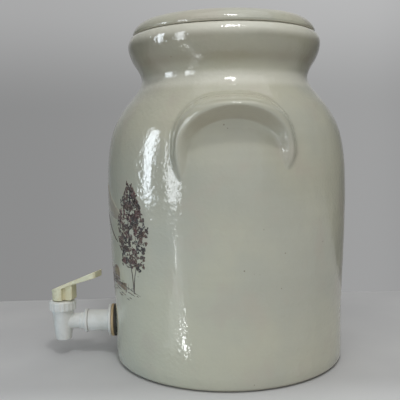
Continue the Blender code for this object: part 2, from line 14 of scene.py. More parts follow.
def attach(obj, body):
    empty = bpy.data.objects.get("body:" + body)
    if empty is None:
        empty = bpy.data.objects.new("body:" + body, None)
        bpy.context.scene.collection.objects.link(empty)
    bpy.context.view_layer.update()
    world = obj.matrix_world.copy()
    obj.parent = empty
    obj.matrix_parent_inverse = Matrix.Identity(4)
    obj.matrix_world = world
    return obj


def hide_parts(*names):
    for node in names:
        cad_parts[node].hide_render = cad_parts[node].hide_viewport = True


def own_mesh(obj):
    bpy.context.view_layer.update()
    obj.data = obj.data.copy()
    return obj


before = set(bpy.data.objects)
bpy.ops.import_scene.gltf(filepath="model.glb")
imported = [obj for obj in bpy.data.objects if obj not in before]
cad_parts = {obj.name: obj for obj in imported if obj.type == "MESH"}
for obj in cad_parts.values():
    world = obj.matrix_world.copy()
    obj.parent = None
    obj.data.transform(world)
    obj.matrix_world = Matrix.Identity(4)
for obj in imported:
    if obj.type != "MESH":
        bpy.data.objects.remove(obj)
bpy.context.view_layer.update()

MM = 0.001

# Crock. (radius, height) where the outer wall passes, from the crown down to the foot.
WALL_STATIONS = [
    (97.4, 333.0), (99.6, 327.5), (98.8, 319.0), (95.2, 310.0), (89.6, 301.0), (86.8, 292.5),
    (89.0, 284.5), (96.6, 274.0), (107.2, 260.5), (116.2, 244.0), (121.8, 223.5), (124.4, 199.0),
    (125.0, 165.0), (123.8, 120.0), (121.9, 80.0), (120.9, 50.0), (120.9, 14.0),
]
WALL = 8 * MM
BASE_THICKNESS = 11 * MM
TAP_WALL_RADIUS = 120.9 * MM
RIM_TOP = 336 * MM

# Lug handles: the pocket's, the lip's and the foot's arch, as (half width in degrees, height,
# squareness). The short leg is at the larger angle round the wall.
LUG_SPRINGING = 217.5 * MM
LUG_ARCHES = ((19.5, 29.5 * MM, 2.0), (22.0, 41.0 * MM, 2.0), (28.5, 55.5 * MM, 3.0))
LUG_LIP_RADIUS = 139.5 * MM
LUG_LEG_RISE = 8 * MM
LUG_LEG_LENGTH = 27 * MM
LUG_SHORT_LEG_LENGTH = 17 * MM
LUG_HALF_ANGLE = 33  # degrees round the wall that the fine part of the mesh covers
# (level, share of the lip's height) across a lug, where level 0 is the pocket's arch, 1 the
# lip's and 2 the foot's.
LUG_SECTION = [
    (-0.95, 0), (-0.85, 0.01), (-0.05, 0.10), (0.08, 0.15), (0.3, 0.36), (0.55, 0.59), (0.8, 0.82),
    (0.93, 0.955), (1.0, 1.0), (1.12, 1.0), (1.22, 0.965), (1.38, 0.80), (1.62, 0.44), (1.84, 0.13),
    (2.03, 0),
]
LUG_INNER_LEVEL, LUG_OUTER_LEVEL = -0.97, 2.05
LUG_LEVELS_SEARCHED = (-1.1, 2.15)

# Tap. Distances along the shank are measured from the barrel's axis towards the crock.
SHANK_Z = 36.8 * MM
REACH = 57.9 * MM
BARREL_Y = -(TAP_WALL_RADIUS + REACH)
WALL_HOLE = 9.5 * MM
SHANK_RADIUS = 7.8 * MM
SHANK_BORE = 4.6 * MM
SHANK_END = 84 * MM
BONNET_TOP = 60.3 * MM
BONNET_RIBS = 18
PIN_Z = 68.5 * MM
LEVER_TURN = math.radians(20)


# ---------------------------------------------------------------- materials

class Surface:
    """A Principled material, and the node patterns that the pieces share."""

    def __init__(self, name, **constants):
        self.material = bpy.data.materials.new(name)
        self.material.use_nodes = True
        self.tree = self.material.node_tree
        self.shader = self.tree.nodes["Principled BSDF"]
        self.place = self.tree.nodes.new("ShaderNodeTexCoord").outputs["Object"]
        for socket, value in constants.items():
            self.shader.inputs[socket.replace("_", " ")].default_value = value

    def node(self, kind, inputs=(), **settings):
        made = self.tree.nodes.new("ShaderNode" + kind)
        for key, value in settings.items():
            setattr(made, key, value)
        for key, value in dict(inputs).items():
            self.put(made.inputs[key], value)
        return made

    def put(self, socket, value):
        if isinstance(value, bpy.types.NodeSocket):
            self.tree.links.new(value, socket)
        else:
            socket.default_value = value

    def stretched(self, x=1.0, y=1.0, z=1.0, shift=0.0):
        mapping = self.node("Mapping", {"Vector": self.place})
        mapping.inputs["Scale"].default_value = (x, y, z)
        mapping.inputs["Location"].default_value = (shift, shift, shift)
        return mapping.outputs["Vector"]

    def noise(self, scale, detail=3.0, place=None, roughness=0.5):
        inputs = {"Vector": place or self.place, "Scale": scale, "Detail": detail}
        made = self.node("TexNoise", inputs)
        made.inputs["Roughness"].default_value = roughness
        return made.outputs["Fac"]

    def cells(self, scale, place=None):
        """Distance to the nearest of many scattered points, in cells."""
        return self.node("TexVoronoi", {"Vector": place or self.place, "Scale": scale}).outputs["Distance"]

    def spread(self, value, low, high, to_low=0.0, to_high=1.0):
        """Maps low..high to to_low..to_high, held at the ends."""
        made = self.node("MapRange", {"Value": value}, interpolation_type="SMOOTHSTEP")
        limits = {"From Min": low, "From Max": high, "To Min": to_low, "To Max": to_high}
        for socket, number in limits.items():
            made.inputs[socket].default_value = number
        return made.outputs["Result"]

    def math(self, operation, a, b=0.0):
        made = self.node("Math", operation=operation)
        self.put(made.inputs[0], a)
        self.put(made.inputs[1], b)
        return made.outputs[0]

    def mix(self, factor, a, b):
        made = self.node("Mix", data_type="RGBA")
        self.put(made.inputs[0], factor)
        for socket, colour in ((made.inputs[6], a), (made.inputs[7], b)):
            self.put(socket, colour if isinstance(colour, bpy.types.NodeSocket) else (*colour, 1))
        return made.outputs[2]

    def zone(self, value, rise, full, fade, end):
        """1 from full to fade, and 0 below rise and above end."""
        return self.math("MULTIPLY", self.spread(value, rise, full), self.spread(value, fade, end, 1, 0))

    def axis(self, letter, vector=None):
        """One coordinate of the surface point, or of another vector."""
        return self.node("SeparateXYZ", {"Vector": vector or self.place}).outputs[letter]

    def colour(self, value):
        self.put(self.shader.inputs["Base Color"], value)

    def roughness(self, value, low, high):
        self.put(self.shader.inputs["Roughness"], self.spread(value, 0.3, 0.7, low, high))

    def bumps(self, *layers):
        """Bump from (height, strength, distance) layers, each on top of the one before."""
        normal = None
        for height, strength, distance in layers:
            made = self.node("Bump", {"Height": height})
            made.inputs["Strength"].default_value = strength
            made.inputs["Distance"].default_value = distance
            if normal:
                self.put(made.inputs["Normal"], normal)
            normal = made.outputs["Normal"]
        self.put(self.shader.inputs["Normal"], normal)


# Heights between which the glaze has run thin, and between which painted light makes the neck and the crown
# paler: (rise, full, fade, end).
THIN_BELOW_RIM = (0.294, 0.306, 0.326, 0.334)
PAINTED_LIGHT_IN_NECK = (0.276, 0.284, 0.290, 0.296)
PAINTED_LIGHT_ON_CROWN = (0.322, 0.330, 0.336, 0.338)


def make_glaze(name):
    """Clear gloss over a mottled grey-cream slip, with iron specks and faint throwing rings.

    It is darker where it has run thin, paler in the neck and on the crown as painted light, and darker brown
    as painted shade where it faces down.
    """
    surface = Surface(name, IOR=1.52, Coat_Weight=0.35, Coat_Roughness=0.03)
    cream = (0.61, 0.60, 0.475)
    grey = (0.54, 0.545, 0.46)
    pink = (0.57, 0.525, 0.44)
    clouds = surface.noise(9, 4)
    colour = surface.mix(surface.spread(clouds, 0.35, 0.65), grey, cream)
    blush = surface.noise(26, 3, surface.stretched(shift=0.7))
    colour = surface.mix(surface.spread(blush, 0.52, 0.72, 0, 0.5), colour, pink)
    rings = surface.noise(110, 2, surface.stretched(0.04, 0.04, 1.0))
    colour = surface.mix(surface.spread(rings, 0.3, 0.7, 0, 0.12), colour, tuple(0.8 * v for v in cream))
    size = surface.noise(60, 0, surface.stretched(shift=0.3))
    reach = surface.spread(size, 0.58, 0.80, 0.0, 0.11)
    speck = surface.math("LESS_THAN", surface.cells(130), reach)
    colour = surface.mix(surface.math("MULTIPLY", speck, 0.55), colour, (0.20, 0.15, 0.10))
    height = surface.axis("Z")
    band = surface.zone(height, *THIN_BELOW_RIM)
    thin = surface.mix(0.30, colour, (0.17, 0.145, 0.09))
    colour = surface.mix(band, colour, thin)
    # Painted light: a paler band in the neck and on the crown brightens them.
    neck = surface.zone(height, *PAINTED_LIGHT_IN_NECK)
    crown = surface.zone(height, *PAINTED_LIGHT_ON_CROWN)
    painted_light = surface.math("MULTIPLY", surface.math("MAXIMUM", neck, crown), 0.75)
    colour = surface.mix(painted_light, colour, (0.82, 0.81, 0.70))
    # Painted shade: darker brown where the surface faces down, as under the lugs and the rim.
    upward = surface.axis("Z", surface.node("NewGeometry").outputs["Normal"])
    painted_underside_shade = surface.spread(upward, -0.80, -0.35, 0.38, 0.0)
    surface.colour(surface.mix(painted_underside_shade, colour, (0.34, 0.27, 0.20)))
    surface.roughness(surface.noise(45, 3, surface.stretched(shift=0.4)), 0.06, 0.12)
    ripple = surface.noise(270, 1)
    waves = surface.noise(45, 1, surface.stretched(1.0, 1.0, 0.6))
    surface.bumps((waves, 1.0, 1.1 * MM), (rings, 0.25, 0.08 * MM), (ripple, 1.0, 0.32 * MM))
    return surface.material


def make_moulded(name, colour, shade, roughness, grain=900, **constants):
    """Moulded plastic or rubber: faint clouding, darker in places, with a fine tooth."""
    surface = Surface(name, IOR=1.46, **constants)
    clouds = surface.noise(70, 4)
    mixed = surface.mix(surface.spread(clouds, 0.35, 0.7), colour, shade)
    grime = surface.noise(260, 3, surface.stretched(shift=0.2))
    patches = surface.spread(grime, 0.55, 0.75, 0, 0.35)
    surface.colour(surface.mix(patches, mixed, tuple(0.82 * v for v in shade)))
    wear = surface.noise(140, 3, surface.stretched(shift=0.6))
    surface.roughness(wear, roughness - 0.06, roughness + 0.08)
    surface.bumps((surface.noise(grain, 2), 0.25, 0.03 * MM), (clouds, 0.3, 0.15 * MM))
    return surface.material


def make_steel():
    """Drawn wire and pressed sheet, with fine drawing lines."""
    surface = Surface("steel", Metallic=1.0)
    lines = surface.noise(900, 3, surface.stretched(1, 1, 6))
    surface.colour(surface.mix(surface.spread(lines, 0.3, 0.7), (0.52, 0.52, 0.54), (0.68, 0.68, 0.70)))
    surface.roughness(lines, 0.22, 0.38)
    surface.bumps((lines, 0.3, 0.02 * MM))
    return surface.material


def make_ink(name, dark, light):
    """Printed colour under the glaze: uneven, with the glaze's own gloss."""
    surface = Surface(name, IOR=1.52, Coat_Weight=0.35, Coat_Roughness=0.03)
    blots = surface.noise(260, 3)
    surface.colour(surface.mix(surface.spread(blots, 0.38, 0.62), dark, light))
    surface.roughness(surface.noise(45, 3, surface.stretched(shift=0.4)), 0.10, 0.20)
    surface.bumps((surface.noise(150, 1.5), 0.6, 0.10 * MM))
    return surface.material


def make_paint(name, colour, other, scale):
    """Matt paint for the floor, with painted light that makes it paler on the +X side of the crock."""
    surface = Surface(name, Roughness=0.85, Specular_IOR_Level=0.2)
    paint = surface.mix(surface.spread(surface.noise(scale, 3), 0.3, 0.7), colour, other)
    # Painted light: the floor is paler in front of the crock, on the +X side.
    ahead = surface.spread(surface.axis("X"), 0.085, 0.15, 0, 0.5)
    surface.colour(surface.mix(ahead, paint, (0.95, 0.96, 0.96)))
    surface.bumps((surface.noise(220, 3), 0.1, 0.1 * MM))
    return surface.material


# ---------------------------------------------------------------- mesh helpers

def placed(name, data):
    """A new object in the scene."""
    made = bpy.data.objects.new(name, data)
    bpy.context.scene.collection.objects.link(made)
    return made


def work_object(name, vertices, faces):
    """A plain mesh object: a piece to finish, or one to cut or join with."""
    mesh = bpy.data.meshes.new(name)
    mesh.from_pydata([tuple(v) for v in np.asarray(vertices, float)], [], [list(f) for f in faces])
    return placed(name, mesh)


def add_piece(name, vertices, faces, material, body, replaced=()):
    piece = work_object(name, vertices, faces)
    piece.data.materials.append(material)
    piece.data.shade_smooth()
    return dress(piece, body, replaced)


def dress(piece, body, replaced=()):
    """Gives a finished piece its body and the CAD nodes that it stands for."""
    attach(piece, body)
    if replaced:
        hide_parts(*replaced)
    return piece


def coat(piece, material):
    """Gives a worked object its one material."""
    piece.data.materials.clear()
    piece.data.materials.append(material)


def shade(piece, degrees):
    """Shades a piece smooth, except across edges that are sharper than so many degrees."""
    piece.data.shade_smooth()
    piece.data.set_sharp_from_angle(angle=math.radians(degrees))


def smooth_curve(points, steps=12):
    """A Catmull-Rom curve through all the points."""
    p = np.array(points, float)
    p = np.vstack([2 * p[0] - p[1], p, 2 * p[-1] - p[-2]])
    out = []
    for a, b, c, d in zip(p, p[1:], p[2:], p[3:]):
        for t in np.arange(steps) / steps:
            out.append(0.5 * (2 * b + (c - a) * t + (2 * a - 5 * b + 4 * c - d) * t * t
                              + (3 * b - a - 3 * c + d) * t ** 3))
    return np.array(out + [p[-2]])


def rounded(profile, radius=0.4 * MM, steps=3):
    """An open profile with its inner corners rounded, except the first and last points."""
    points = [np.array(p, float) for p in profile]
    out = [points[0]]
    for before, corner, after in zip(points, points[1:], points[2:]):
        back, ahead = before - corner, after - corner
        reach = min(radius, 0.45 * np.linalg.norm(back), 0.45 * np.linalg.norm(ahead))
        start = corner + back / np.linalg.norm(back) * reach
        end = corner + ahead / np.linalg.norm(ahead) * reach
        for t in np.linspace(0, 1, steps + 1):
            out.append((1 - t) ** 2 * start + 2 * t * (1 - t) * corner + t * t * end)
    return np.array(out + [points[-1]])


def in_mm(points):
    """Points given in mm, as metres."""
    return np.array(points, float) * MM


def resampled(path, spacing):
    """Points along a path, about as far apart as spacing says, with both its ends."""
    path = np.array(path, float)
    along = np.concatenate([[0], np.cumsum(np.hypot(*np.diff(path, axis=0).T))])
    count = max(2, int(round(along[-1] / spacing)) + 1)
    at = np.linspace(0, along[-1], count)
    return np.stack([np.interp(at, along, path[:, 0]), np.interp(at, along, path[:, 1])], 1)


def wrap_faces(rows, columns, closed=False):
    """Quads of a grid whose columns go all the way round, and whose rows may too."""
    faces = []
    for i in range(rows if closed else rows - 1):
        a, b = i * columns, (i + 1) % rows * columns
        for j in range(columns):
            k = (j + 1) % columns
            faces.append((a + j, b + j, b + k, a + k))
    return faces


def turned(profile, columns, shape=None):
    """Vertices and faces of a turned form about Z, from a profile down its outer side.

    Columns is their number, or else the angle of each.
    A profile that ends on the axis gets a pole there; any other is closed into a ring.
    Shape may change the (radius, height) grids, given the angles of the columns.
    """
    profile = np.array(profile, float)
    on_axis = profile[0, 0] < 1e-6
    rows = profile[1:-1] if on_axis else profile
    if np.isscalar(columns):
        angles = 2 * math.pi * np.arange(columns) / columns
    else:
        angles = np.array(columns)
    radius = np.repeat(rows[:, :1], len(angles), 1)
    height = np.repeat(rows[:, 1:], len(angles), 1)
    if shape:
        radius, height = shape(radius, height, angles)
    vertices = np.stack([radius * np.cos(angles), radius * np.sin(angles), height], -1).reshape(-1, 3)
    faces = wrap_faces(len(rows), len(angles), closed=not on_axis)
    if on_axis:
        first, last = len(vertices), len(vertices) + 1
        vertices = np.vstack([vertices, [0, 0, profile[0, 1]], [0, 0, profile[-1, 1]]])
        base, n = (len(rows) - 1) * len(angles), len(angles)
        faces += [(first, j, (j + 1) % n) for j in range(n)]
        faces += [(last, base + (j + 1) % n, base + j) for j in range(n)]
    return vertices, faces


def along_shank(vertices):
    """Turns a form made about Z so that its +Z points out of the tap, away from the crock."""
    x, y, z = np.asarray(vertices, float).T
    return np.stack([x, BARREL_Y - z, y + SHANK_Z], 1)


def on_barrel(vertices):
    return np.asarray(vertices, float) + (0, BARREL_Y, 0)


def applied(piece):
    """Makes the piece's modifiers part of its mesh."""
    bpy.context.view_layer.update()
    evaluated = piece.evaluated_get(bpy.context.evaluated_depsgraph_get())
    mesh = bpy.data.meshes.new_from_object(evaluated)
    piece.modifiers.clear()
    piece.data = mesh
    return piece


def boolean(piece, tool, operation="DIFFERENCE"):
    """Cuts or joins a piece with a tool, which is removed once it is used."""
    modifier = piece.modifiers.new(tool.name, "BOOLEAN")
    modifier.operation = operation
    modifier.object = tool
    applied(piece)
    bpy.data.objects.remove(tool)
    return piece


def melted(piece, voxel, rounds):
    """Remeshes a closed form finely and relaxes it, which rounds its edges and its joins."""
    remesh = piece.modifiers.new("remesh", "REMESH")
    remesh.mode = "VOXEL"
    remesh.voxel_size = voxel
    relax = piece.modifiers.new("relax", "SMOOTH")
    relax.factor = 0.5
    relax.iterations = rounds
    applied(piece)
    piece.data.shade_smooth()
    return piece


# ---------------------------------------------------------------- crock

WALL_PATH = smooth_curve(in_mm(WALL_STATIONS))


def wall_radius(height):
    return np.interp(height, WALL_PATH[::-1, 1], WALL_PATH[::-1, 0])


def arch_level(across, up, leg):
    """Which arch passes each point: 0 is the pocket's, 1 the lip's and 2 the foot's."""
    def outside(level):
        width, rise, square = arch_at(level)
        straight = across / (width + (LUG_ARCHES[1][0] - width) * leg ** 1.5)
        arched = (across / width) ** square + (np.maximum(up, 0) / rise) ** square
        return np.where(up >= 0, arched, straight) > 1
    low, high = (np.full(across.shape, level) for level in LUG_LEVELS_SEARCHED)
    for _ in range(22):
        middle = (low + high) / 2
        beyond = outside(middle)
        low, high = np.where(beyond, middle, low), np.where(beyond, high, middle)
    return (low + high) / 2


def arch_at(level):
    pocket, lip, foot = LUG_ARCHES
    inner, outer = np.minimum(level, 1), np.maximum(level - 1, 0)
    return [p + (m - p) * inner + (f - m) * outer for p, m, f in zip(pocket, lip, foot)]


def lug_rise(degrees, height):
    """How far a lug stands off the wall, at degrees round the wall from its middle."""
    across, up = np.abs(degrees), height - LUG_SPRINGING
    leg_length = np.where(degrees > 0, LUG_SHORT_LEG_LENGTH, LUG_LEG_LENGTH)
    leg = np.clip(-up / leg_length, 0, 1)
    level = arch_level(across, up, leg)
    width, rise, square = arch_at(level)
    half = square / 2
    angle = np.arctan2((across / width) ** half, (np.maximum(up, 0) / rise) ** half)
    turn = np.where(up >= 0, angle / (math.pi / 2), 1 + leg)
    facing = np.cos(turn * math.pi / 2)
    crest = (0.5 * (facing + np.sqrt(facing ** 2 + 0.004))) ** 0.7
    arched = np.cos(np.minimum(turn, 1) * math.pi / 2) * LUG_ARCHES[1][1]
    lip_height = LUG_SPRINGING + arched - leg_length * leg
    leg_radius = wall_radius(lip_height) - MM * leg + LUG_LEG_RISE * (1 - leg ** 1.5)
    lip_radius = leg_radius + (LUG_LIP_RADIUS - leg_radius) * crest
    share = np.interp(level, *zip(*LUG_SECTION))
    wall = wall_radius(height) - MM
    rise_off = wall + (lip_radius - wall) * share - wall_radius(height)
    beyond = (leg >= 1) | (level > LUG_OUTER_LEVEL) | (level < LUG_INNER_LEVEL)
    return np.maximum(np.where(beyond, 0, rise_off), 0)


def softened(grid, rounds):
    """Averages a height grid with its neighbours."""
    for _ in range(rounds):
        padded = np.pad(grid, 1, mode="edge")
        grid = (4 * grid + padded[:-2, 1:-1] + padded[2:, 1:-1]
                + padded[1:-1, :-2] + padded[1:-1, 2:]) / 8
    return grid


def hand_thrown(angles, height):
    """The wall's slight unevenness, which fades out round the tap and at both ends."""
    lumps = (
        0.35 * np.sin(2 * angles + 0.6) * np.sin(height / 0.11)
        + 0.22 * np.sin(3 * angles - 1.1 + height / 0.09)
        + 0.12 * np.sin(5 * angles + 2.0) * np.cos(height / 0.035)
        + 0.07 * np.sin(height / 0.0052 + 0.8 * np.sin(2 * angles))
    ) * MM
    tap_angle = np.abs((angles + math.pi / 2 + math.pi) % (2 * math.pi) - math.pi)
    near_tap = np.exp(-((tap_angle / 0.30) ** 2) - ((height - SHANK_Z) / 0.04) ** 2)
    near_ends = np.clip(np.minimum(height / 0.02, (RIM_TOP - height) / 0.02), 0, 1)
    return lumps * (1 - near_tap) * near_ends


def crock_angles():
    """Angles of the mesh's columns, close together over the lugs."""
    fine = np.arange(-LUG_HALF_ANGLE, LUG_HALF_ANGLE + 0.01, 0.6)
    coarse = np.linspace(LUG_HALF_ANGLE, 180 - LUG_HALF_ANGLE, 49)[1:-1]
    return np.radians(np.concatenate([fine, coarse, fine + 180, coarse + 180]))


def make_crock(material):
    lug_low = LUG_SPRINGING - LUG_LEG_LENGTH - 4 * MM
    lug_high = LUG_SPRINGING + LUG_ARCHES[2][1] + 4 * MM
    path = WALL_PATH
    above = path[path[:, 1] >= lug_high]
    beside = path[(path[:, 1] <= lug_high + MM) & (path[:, 1] >= lug_low - MM)]
    below = path[path[:, 1] <= lug_low]
    outer = np.vstack([resampled(above, 1.6 * MM), resampled(beside, 0.8 * MM)[1:-1],
                       resampled(below, 3 * MM)])
    foot = [(TAP_WALL_RADIUS - 6 * MM * (1 - math.cos(a)), 6 * MM * (1 - math.sin(a)))
            for a in np.radians(np.arange(0, 91, 15))]
    cove = 7 * MM
    bore = TAP_WALL_RADIUS - WALL
    cove_points = [(bore - cove * (1 - math.cos(a)), BASE_THICKNESS + cove * (1 - math.sin(a)))
                   for a in np.radians(np.arange(0, 91, 15))]
    inner = path[(path[:, 1] < 276 * MM) & (path[:, 1] > BASE_THICKNESS + cove)] - (WALL, 0)
    throat = smooth_curve([(89.5 * MM, 274 * MM), (80.5 * MM, 281 * MM), (78 * MM, 292 * MM),
                           (78.4 * MM, 310 * MM), (78.7 * MM, 322 * MM), (80.4 * MM, 332.5 * MM)])
    crown = rounded([(80.4 * MM, 332.5 * MM), (82.2 * MM, RIM_TOP), (93.6 * MM, RIM_TOP),
                     (97.4 * MM, 333 * MM)], 2.2 * MM, 5)
    inside = [(r * MM, BASE_THICKNESS) for r in (0, 40, 80)] + cove_points[::-1]
    profile = np.vstack([
        inside, resampled(inner[::-1], 6 * MM)[1:-1], resampled(throat, 4 * MM), crown[1:-1],
        outer, foot[1:], [(60 * MM, 0.0), (0, 0.0)],
    ])
    first_outer = len(profile) - len(outer) - len(foot) - 1

    def shape(radius, height, angles):
        lugs = np.zeros(radius.shape)
        for middle in (0, 180):
            degrees = (np.degrees(angles) - middle + 180) % 360 - 180
            near = np.abs(degrees) < LUG_HALF_ANGLE
            rows = (height[:, 0] > lug_low) & (height[:, 0] < lug_high)
            rows[:first_outer] = False
            patch = np.ix_(rows, near)
            grid = np.broadcast_to(degrees[near], height[patch].shape)
            lugs[patch] = softened(lug_rise(grid, height[patch]), 2)
        uneven = hand_thrown(np.broadcast_to(angles, height.shape), height)
        uneven[:first_outer - 2] *= 0.4
        return radius + lugs + uneven, height

    vertices, faces = turned(profile[::-1], crock_angles(), lambda r, z, a: tuple(
        g[::-1] for g in shape(r[::-1], z[::-1], a)))
    crock = work_object("crock", vertices, faces)
    outside = -REACH + 16 * MM
    circle = [(0, outside), (WALL_HOLE, outside), (WALL_HOLE, -SHANK_END), (0, -SHANK_END)]
    hole, hole_faces = turned(circle, 64)
    boolean(crock, work_object("wall_hole", along_shank(hole), hole_faces))
    coat(crock, material)
    shade(crock, 50)
    return dress(crock, "crock", ["crock_body"])


def make_lid(material):
    top = [(0, 357.5), (6, 357.45)]
    knob = smooth_curve([(12.5, 357.1), (15.2, 356.2), (16.5, 353.9), (15.6, 350.6), (12.2, 347.2),
                         (10.5, 344.6), (11.3, 341.5), (15.5, 339.5)])
    recess = [(30, 339.5), (46, 339.5), (61, 339.5), (65.5, 340.2), (69.5, 342.2)]
    edge = smooth_curve([(74, 347), (79, 349), (84.5, 348.9), (89.6, 345.8), (93.0, 341.8), (94.4, 338.6)])
    under = [(93.9, 336.5), (92.9, 336.3), (79.5, 336.3), (76.6, 335.9), (75.4, 334.3), (74.6, 332.0),
             (71.5, 331.0), (40, 331.0), (0, 331.0)]
    profile = in_mm(top + list(knob) + recess + list(edge) + under)

    def shape(radius, height, angles):
        wobble = 0.12 * MM * np.sin(2 * angles + 0.9) + 0.06 * MM * np.sin(5 * angles)
        return radius + wobble * np.clip((radius - 20 * MM) / (60 * MM), 0, 1), height

    vertices, faces = turned(profile, 200, shape)
    return add_piece("crock_lid", vertices, faces, material, "lid", ["lid"])


# ---------------------------------------------------------------- printed decoration

class Print:
    """Thin shapes of one ink laid on the crock's wall.

    A place is (arc, height): arc is measured round the wall from the tap towards +X.
    """

    def __init__(self):
        self.vertices, self.faces = [], []

    def on_wall(self, arc, height, lift):
        angle = arc / (TAP_WALL_RADIUS + 3 * MM) - math.pi / 2
        radius = wall_radius(height) + hand_thrown(angle, height) + lift
        return radius * math.cos(angle), radius * math.sin(angle), height

    def add(self, places, lift, faces, edge):
        """A closed shell: places above the wall, the same places just under it, and sides."""
        first, count = len(self.vertices), len(places)
        self.vertices += [self.on_wall(u, z, lift) for u, z in places]
        self.vertices += [self.on_wall(u, z, -0.15 * MM) for u, z in places]
        self.faces += [tuple(first + i for i in face) for face in faces]
        self.faces += [tuple(first + count + i for i in reversed(face)) for face in faces]
        for a, b in zip(edge, edge[1:] + edge[:1]):
            self.faces.append((first + b, first + a, first + count + a, first + count + b))

    def blot(self, arc, height, size, stretch, tilt, lift, chance):
        """An uneven round mark, such as a leaf."""
        places = [(arc, height)]
        for i in range(8):
            angle = 2 * math.pi * i / 8
            reach = size * (0.72 + 0.5 * chance.random())
            x, y = reach * stretch * math.cos(angle), reach / stretch * math.sin(angle)
            places.append((arc + x * math.cos(tilt) - y * math.sin(tilt),
                           height + x * math.sin(tilt) + y * math.cos(tilt)))
        self.add(places, lift, [(0, 1 + i, 1 + (i + 1) % 8) for i in range(8)], list(range(1, 9)))

    def stroke(self, points, widths, lift=0.09 * MM):
        """A line through (arc, height) points, with a width at each."""
        line = smooth_curve(points, 5)
        width = np.interp(np.linspace(0, 1, len(line)), np.linspace(0, 1, len(widths)), widths) / 2
        along = np.gradient(line, axis=0)
        across = np.stack([-along[:, 1], along[:, 0]], 1) / np.linalg.norm(along, axis=1)[:, None]
        places = [tuple(p) for p in line - across * width[:, None]]
        places += [tuple(p) for p in (line + across * width[:, None])[::-1]]
        n, last = len(line), 2 * len(line) - 1
        self.add(places, lift, [(i, i + 1, last - i - 1, last - i) for i in range(n - 1)], list(range(2 * n)))

    def wash(self, start, end, low, high, lift=0.05 * MM):
        """A filled band between two heights that are functions of the arc."""
        arcs = np.linspace(start, end, int((end - start) / (1.5 * MM)) + 2)
        steps = 5
        places = []
        for u in arcs:
            bottom, top = low(u), max(high(u), low(u) + 0.3 * MM)
            places += [(u, bottom + (top - bottom) * k / steps) for k in range(steps + 1)]
        w, n = steps + 1, len(arcs)
        faces = [(i * w + k, (i + 1) * w + k, (i + 1) * w + k + 1, i * w + k + 1)
                 for i in range(n - 1) for k in range(steps)]
        edge = [i * w for i in range(n)] + [(n - 1) * w + k for k in range(1, w)]
        edge += [i * w + steps for i in range(n - 2, -1, -1)] + [k for k in range(steps - 1, 0, -1)]
        self.add(places, lift, faces, edge)

    def finish(self, name, material):
        return add_piece(name, self.vertices, self.faces, material, "crock")


LEAF_CLUSTERS = 84
CLUSTER_SPACING = 0.072  # of the crown's height


def make_tree(twigs, leaves, foot, stems, crown, chance):
    """Thin stems from one foot, with an open crown of leaf clusters over them.

    Crown is (half width, bottom, top) of an egg shape above the foot. Leaves has three inks.
    """
    tips = []
    for bend, top, width in stems:
        points = [foot, (foot[0] + bend * 0.25, foot[1] + top * 0.22),
                  (foot[0] + bend * 0.75, foot[1] + top * 0.45),
                  (foot[0] + bend * 0.8, foot[1] + top * 0.75), (foot[0] + bend * 0.45, foot[1] + top)]
        twigs.stroke(points, [width, 0.8 * width, 0.6 * width, 0.35 * width])
        tips += [p for p in smooth_curve(points, 6)[11:]]
    tips = np.array(tips)
    half, bottom, top = crown
    spots = []
    while len(spots) < LEAF_CLUSTERS:
        share = chance.random()
        reach = half * math.sin(math.pi * (0.10 + 0.86 * share) ** 0.8) ** 0.75
        spot = np.array([foot[0] + (2 * chance.random() - 1) * reach, bottom + (top - bottom) * share])
        spacing = CLUSTER_SPACING * (top - bottom)
        if all(np.hypot(*(spot - other)) > spacing for other in spots) or chance.random() < 0.02:
            spots.append(spot)
    for spot in spots:
        below = tips[tips[:, 1] < spot[1] + 1 * MM]
        root = below[np.argmin(np.hypot(*(below - spot).T))] if len(below) else tips[0]
        middle = (root + spot) / 2 + ((spot[0] - root[0]) * 0.15, -abs(spot[0] - root[0]) * 0.18)
        twigs.stroke([tuple(root), tuple(middle), tuple(spot)], [0.8 * MM, 0.6 * MM, 0.45 * MM])
        ink = leaves[int(chance.choice(3, p=(0.46, 0.20, 0.34)))]
        size = (top - bottom) * (0.030 + 0.024 * chance.random())
        for _ in range(int(6 + 8 * chance.random())):
            around, off = 2 * math.pi * chance.random(), size * math.sqrt(chance.random())
            ink.blot(spot[0] + off * math.cos(around), spot[1] + 1.25 * off * math.sin(around),
                     (0.75 + 1.0 * chance.random()) * MM, 1.0 + 0.5 * chance.random(),
                     math.pi * chance.random(), (0.10 + 0.05 * chance.random()) * MM, chance)


